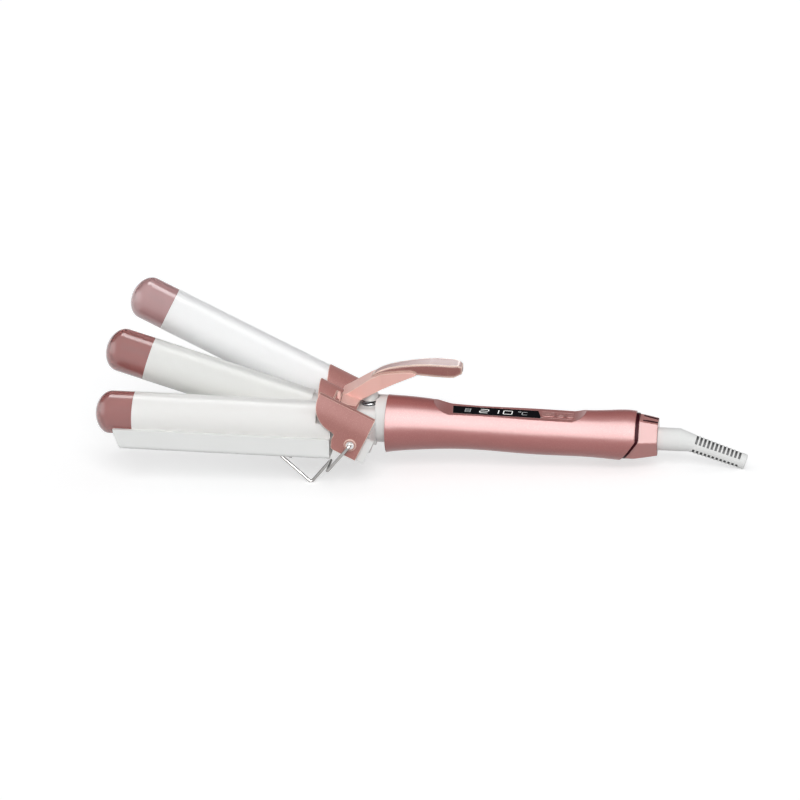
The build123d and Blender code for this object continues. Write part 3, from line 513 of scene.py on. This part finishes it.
def makeBoard():
    material, tree, shader = newMaterial("boardMask")
    place = addNode(tree, "TexCoord").outputs["Object"]
    traces = addNode(tree, "TexBrick")
    traces.inputs["Scale"].default_value = boardMask["traceScale"]
    traces.inputs["Mortar Size"].default_value = boardMask["traceGap"]
    tree.links.new(place, traces.inputs["Vector"])
    pads = addNode(tree, "TexVoronoi")
    pads.inputs["Scale"].default_value = boardMask["padScale"]
    pads.inputs["Randomness"].default_value = boardMask["padSpread"]
    tree.links.new(place, pads.inputs["Vector"])
    dots = addRange(tree, pads.outputs["Distance"], *boardMask["padRim"], 1, 0)
    color = addMix(tree, traces.outputs["Fac"], boardMask["mask"], boardMask["copper"])
    tree.links.new(addMix(tree, dots, color, boardMask["pad"]), shader.inputs["Base Color"])
    tree.links.new(addRange(tree, dots, 0, 1, *boardMask["gloss"]), shader.inputs["Roughness"])
    tree.links.new(addBump(tree, traces.outputs["Fac"], boardMask["relief"]), shader.inputs["Normal"])
    dress(material, "circuit_board")


makeBoard()
print("inside dressed")

# the display: black glass with lit figures just proud of it
displayGlass = {"base": (0.006, 0.006, 0.008), "deep": (0.004, 0.004, 0.006), "edge": (0.02, 0.02, 0.022),
                "grainScale": 500, "grainDepth": 0.0005, "smooth": 0.06, "rough": 0.10, "edgeRadius": 0.15,
                "level": 0.02}
dress(makePlastic("displayGlass", displayGlass), "display_window")

# the flat that carries display and keys
panel = {"start": 58, "height": 10.0, "slope": 0.7346}
panelFrame = (toolFrame @ Matrix.Translation((panel["start"] * mm, 0, panel["height"] * mm))
              @ Matrix.Rotation(radians(panel["slope"]), 4, "Y"))
figures = {"text": "210", "starts": (76.9, 83.3, 92.0), "width": 6.0, "height": 6.8, "stroke": 0.6,
           "gap": 0.12, "thick": 0.05, "lift": 0.01}
unitMark = {"degree": (102.0, 2.6), "degreeRadius": 0.85, "degreeStroke": 0.4, "letter": 103.9, "width": 3.2,
            "height": 4.8, "stroke": 0.6}
symbolMark = {"start": 67.4, "width": 3.6, "height": 6.6, "stroke": 0.5, "rows": (0.1, 0.37, 0.63, 0.9),
              "inset": 0.2}
glowLook = {"figures": (0.86, 0.87, 0.84), "figuresStrength": 0.62, "unit": (0.36, 0.38, 0.38),
            "unitStrength": 0.35, "dotScale": 700, "dotSpan": (0.3, 0.7), "dotTone": 0.9, "roughness": 0.4}
litSegments = {"0": "abcdef", "1": "bc", "2": "abged"}


def addPrisms(name, outlines, thick, low, material, body, matrix):
    # each outline is a ring of (x, y) points in mm on the panel, pulled up into a thin plate
    points, faces = [], []
    for outline in outlines:
        first, count = len(points), len(outline)
        points += [(x * mm, y * mm, low * mm) for x, y in outline]
        points += [(x * mm, y * mm, (low + thick) * mm) for x, y in outline]
        faces.append([first + count + i for i in range(count)])
        faces.append([first + i for i in reversed(range(count))])
        faces += [[first + i, first + (i + 1) % count, first + count + (i + 1) % count, first + count + i]
                  for i in range(count)]
    mesh = bpy.data.meshes.new(name)
    mesh.from_pydata(points, [], faces)
    mesh.materials.append(material)
    plate = bpy.data.objects.new(name, mesh)
    plate.matrix_world = matrix
    bpy.context.scene.collection.objects.link(plate)
    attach(plate, body)


def bar(start, end, stroke):
    # a stroke with pointed ends, as on a segment display
    along = (Vector(end) - Vector(start)).normalized()
    side = Vector((-along.y, along.x)) * stroke / 2
    inner = along * stroke / 2
    ring = [Vector(start), Vector(start) + inner - side, Vector(end) - inner - side,
            Vector(end), Vector(end) - inner + side, Vector(start) + inner + side]
    return [tuple(point) for point in ring]


def segmentBars(lit, left, bottom, wide, high):
    right, top, middle = left + wide, bottom + high, bottom + high / 2
    ends = {"a": ((left, top), (right, top)), "b": ((right, middle), (right, top)),
            "c": ((right, bottom), (right, middle)), "d": ((left, bottom), (right, bottom)),
            "e": ((left, bottom), (left, middle)), "f": ((left, middle), (left, top)),
            "g": ((left, middle), (right, middle))}
    bars = []
    for segment in lit:
        start, end = (Vector(point) for point in ends[segment])
        trim = (end - start).normalized() * figures["gap"]
        bars.append(bar(start + trim, end - trim, figures["stroke"]))
    return bars


def arcBars(middle, radius, startAngle, endAngle, stroke, steps=18):
    # a ring or part of one, made of short plates
    pieces = []
    for i in range(steps):
        low = radians(startAngle + (endAngle - startAngle) * i / steps)
        high = radians(startAngle + (endAngle - startAngle) * (i + 1) / steps)
        corners = ((radius - stroke / 2, low), (radius + stroke / 2, low),
                   (radius + stroke / 2, high), (radius - stroke / 2, high))
        pieces.append([(middle[0] + reach * cos(angle), middle[1] + reach * sin(angle))
                       for reach, angle in corners])
    return pieces


def makeGlow(name, color, strength):
    material, tree, shader = newMaterial(name)
    dots = addRange(tree, addNoise(tree, glowLook["dotScale"], 2.0), *glowLook["dotSpan"], 0, 1)
    color = addMix(tree, dots, color, tuple(glowLook["dotTone"] * part for part in color))
    tree.links.new(color, shader.inputs["Base Color"])
    tree.links.new(color, shader.inputs["Emission Color"])
    shader.inputs["Emission Strength"].default_value = strength
    shader.inputs["Roughness"].default_value = glowLook["roughness"]
    return material


def makeDisplayFigures():
    bright = makeGlow("figureGlow", glowLook["figures"], glowLook["figuresStrength"])
    dim = makeGlow("unitGlow", glowLook["unit"], glowLook["unitStrength"])
    start = panel["start"]
    stroke = figures["stroke"]
    bottom = (stroke - figures["height"]) / 2
    bars = []
    for letter, left in zip(figures["text"], figures["starts"]):
        bars += segmentBars(litSegments[letter], left - start, bottom, figures["width"] - stroke,
                            figures["height"] - stroke)
    addPrisms("display_figures", bars, figures["thick"], figures["lift"], bright, "handle", panelFrame)

    degreeX, degreeY = unitMark["degree"]
    unit = arcBars((degreeX - start, degreeY), unitMark["degreeRadius"], 0, 360, unitMark["degreeStroke"])
    left, low = unitMark["letter"] - start, -unitMark["height"] / 2
    high = -low
    unit += [bar((left, low), (left, high), unitMark["stroke"]),
             bar((left, low), (left + unitMark["width"], low), unitMark["stroke"]),
             bar((left, high), (left + unitMark["width"], high), unitMark["stroke"])]
    addPrisms("display_unit", unit, figures["thick"], figures["lift"], dim, "handle", panelFrame)

    left, low = symbolMark["start"] - start, -symbolMark["height"] / 2
    rows = [low + symbolMark["height"] * share for share in symbolMark["rows"]]
    symbol = [bar((left, row), (left + symbolMark["width"], row), symbolMark["stroke"]) for row in rows]
    sides = (left + symbolMark["inset"], left + symbolMark["width"] - symbolMark["inset"])
    symbol += [bar((side, low), (side, -low), symbolMark["stroke"]) for side in sides]
    addPrisms("display_symbol", symbol, figures["thick"], figures["lift"], dim, "handle", panelFrame)


makeDisplayFigures()

# thin raised marks on the keys and the line round them
keyMarks = {"stroke": 0.32, "thick": 0.04, "lift": 0.36, "radius": 1.25, "powerArc": (120, 420),
            "stemFoot": 0.2, "stemRise": 0.5}
keyPlaces = {"power": 120.6, "plus": 128.4, "minus": 134.6}
keyLine = {"left": 115.8, "right": 137.2, "half": 5.4, "corner": 3.6, "stroke": 0.28, "thick": 0.06,
           "lift": 0.005}


def makeKeyMarks():
    pale = makePlastic("keyMarkPink", dict(keyPaint, base=(0.78, 0.52, 0.48), deep=(0.74, 0.48, 0.44)))
    stroke, radius = keyMarks["stroke"], keyMarks["radius"]
    power, plus, minus = (keyPlaces[key] - panel["start"] for key in ("power", "plus", "minus"))
    stem = bar((power, keyMarks["stemFoot"]), (power, radius + keyMarks["stemRise"]), stroke)
    marks = {"power": arcBars((power, 0), radius, *keyMarks["powerArc"], stroke) + [stem]}
    for key, x in (("plus", plus), ("minus", minus)):
        marks[key] = [bar((x - radius, 0), (x + radius, 0), stroke)]
    marks["plus"].append(bar((plus, -radius), (plus, radius), stroke))
    for key, outlines in marks.items():
        addPrisms(key + "_mark", outlines, keyMarks["thick"], keyMarks["lift"], pale, key + "_key",
                  panelFrame)

    left, right = keyLine["left"] - panel["start"], keyLine["right"] - panel["start"]
    half, corner, stroke = keyLine["half"], keyLine["corner"], keyLine["stroke"]
    line = [bar((left, side * half), (right, side * half), stroke) for side in (-1, 1)]
    line += [bar((right + corner, corner - half), (right + corner, half - corner), stroke)]
    line += arcBars((right, half - corner), corner, 0, 90, stroke)
    line += arcBars((right, corner - half), corner, -90, 0, stroke)
    addPrisms("key_panel_line", line, keyLine["thick"], keyLine["lift"], pale, "handle", panelFrame)


makeKeyMarks()
print("display and keys finished")


# trims that ride on the mouldings; points are in mm in the tool frame
def addSolid(name, points, faces, material, body, matrix):
    mesh = bpy.data.meshes.new(name)
    mesh.from_pydata([tuple(part * mm for part in point) for point in points], [], faces)
    shape = bmesh.new()
    shape.from_mesh(mesh)
    bmesh.ops.recalc_face_normals(shape, faces=shape.faces)
    shape.to_mesh(mesh)
    shape.free()
    mesh.materials.append(material)
    piece = bpy.data.objects.new(name, mesh)
    piece.matrix_world = matrix
    bpy.context.scene.collection.objects.link(piece)
    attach(piece, body)


def addSheet(name, rows, thick, outwards, material, body):
    # a slab over a grid of points, thickened away from its outer face
    across, total = len(rows[0]), len(rows) * len(rows[0])
    outer = [Vector(point) for row in rows for point in row]
    inner = [point - Vector(outwards) * thick for point in outer]
    faces = []
    for i in range(len(rows) - 1):
        for j in range(across - 1):
            ring = [i * across + j, i * across + j + 1, (i + 1) * across + j + 1, (i + 1) * across + j]
            faces += [ring, [total + k for k in reversed(ring)]]
    last = total - across
    rim = list(range(across)) + [i * across + across - 1 for i in range(1, len(rows))]
    rim += [last + j for j in reversed(range(across - 1))]
    rim += [i * across for i in reversed(range(1, len(rows) - 1))]
    faces += [[rim[k], rim[k - 1], total + rim[k - 1], total + rim[k]] for k in range(len(rim))]
    addSolid(name, outer + inner, faces, material, body, toolFrame)


def addTurned(name, profile, material, body, matrix, segments):
    # a profile of (distance, radius) turned about the X axis
    points = [(x, radius * cos(2 * pi * k / segments), radius * sin(2 * pi * k / segments))
              for x, radius in profile for k in range(segments)]
    faces = []
    for i in range(len(profile) - 1):
        for k in range(segments):
            near, far = i * segments, (i + 1) * segments
            faces.append([near + k, near + (k + 1) % segments, far + (k + 1) % segments, far + k])
    end = (len(profile) - 1) * segments
    faces += [list(range(segments)), [end + k for k in reversed(range(segments))]]
    addSolid(name, points, faces, material, body, matrix)


def surfaceHeight(nodeName, x, y):
    # where a ray straight down the tool frame meets a piece
    node = nodes[nodeName]
    back = node.matrix_world.inverted() @ toolFrame
    start = back @ Vector((x * mm, y * mm, rayStart * mm))
    spot = node.ray_cast(start, back.to_3x3() @ Vector((0, 0, -1)))[1]
    return (back.inverted() @ spot).z / mm


leverFlank = {"upper": ((-9.5, -8.8, 21.1), (-4.0, -8.8, 19.1), (1.7, -8.8, 16.8)),
              "lower": ((-8.9, -25.5, 20.7), (-4.4, -25.0, 18.6), (0.2, -21.0, 16.6)),
              "thick": 0.5, "outwards": (0.3, -0.3, 0.9)}
leverPost = {"top": (-10.2, -23.6, 27.0), "foot": (-9.9, -26.9, 20.9), "radius": 1.1,
             "rounding": (8, 35, 62, 90), "segments": 24}
# dark strips laid just over the upper facets of the end cap, one on each side
# each station gives x and the distances of the outer and the inner edge from the middle
capDarkStrip = {"stations": ((178.4, 7.1, 5.4), (181.0, 6.9, 3.6), (184.0, 6.6, 2.6), (187.0, 6.3, 2.2),
                         (190.4, 6.0, 2.0)), "lift": 0.06, "thick": 0.3}
# a black cone inside the strain relief, a painted shadow that makes its slots look dark
slotShadeCone = {"bend": (206.5, 0, -2.9), "angle": 17.8, "start": 6.9, "end": 38.2, "segments": 48,
                "thickEnd": 5.9, "thinEnd": 4.9, "coneStart": 5.0, "coneEnd": 42.0, "below": 0.4}
rayStart = 100      # above the tool axis, clear of every piece


def makeLeverTrims():
    pink = bpy.data.materials["leverPink"]
    addSheet("lever_flank", (leverFlank["upper"], leverFlank["lower"]), leverFlank["thick"],
             leverFlank["outwards"], pink, "clamp")
    top, foot = Vector(leverPost["top"]), Vector(leverPost["foot"])
    length, radius = (foot - top).length, leverPost["radius"]
    turns = [radians(turn) for turn in leverPost["rounding"]]
    profile = [(radius * (1 - cos(turn)), radius * sin(turn)) for turn in turns]
    profile += [(length - x, reach) for x, reach in reversed(profile)]
    place = Matrix.Translation(top * mm) @ (foot - top).to_track_quat("X", "Z").to_matrix().to_4x4()
    addTurned("lever_post", profile, pink, "clamp", toolFrame @ place, leverPost["segments"])


def makeCapDarkStrips():
    dark = bpy.data.materials["seamTrim"]
    for name, side in (("near", -1), ("far", 1)):
        rows = []
        for x, outer, inner in capDarkStrip["stations"]:
            row = [side * (outer + (inner - outer) * share) for share in (0, 0.5, 1)]
            rows.append([(x, y, surfaceHeight("end_cap", x, y) + capDarkStrip["lift"]) for y in row])
        addSheet("cap_dark_strip_" + name, rows, capDarkStrip["thick"], (0, 0, 1), dark, "handle")


# painted shadow: the black cone that darkens the slots of the strain relief
def makeSlotShadeCone():
    black = bpy.data.materials["leadRubber"]
    coneLength = slotShadeCone["coneEnd"] - slotShadeCone["coneStart"]
    taper = (slotShadeCone["thinEnd"] - slotShadeCone["thickEnd"]) / coneLength
    profile = []
    for x in (slotShadeCone["start"], slotShadeCone["end"]):
        reach = slotShadeCone["thickEnd"] + taper * (x - slotShadeCone["coneStart"]) - slotShadeCone["below"]
        profile.append((x, reach))
    turn = Matrix.Rotation(radians(slotShadeCone["angle"]), 4, "Y")
    bend = Matrix.Translation(Vector(slotShadeCone["bend"]) * mm) @ turn
    addTurned("slot_shade_cone", profile, black, "swivel", toolFrame @ bend, slotShadeCone["segments"])


bpy.context.view_layer.update()
makeLeverTrims()
makeCapDarkStrips()
makeSlotShadeCone()
print("trims finished")
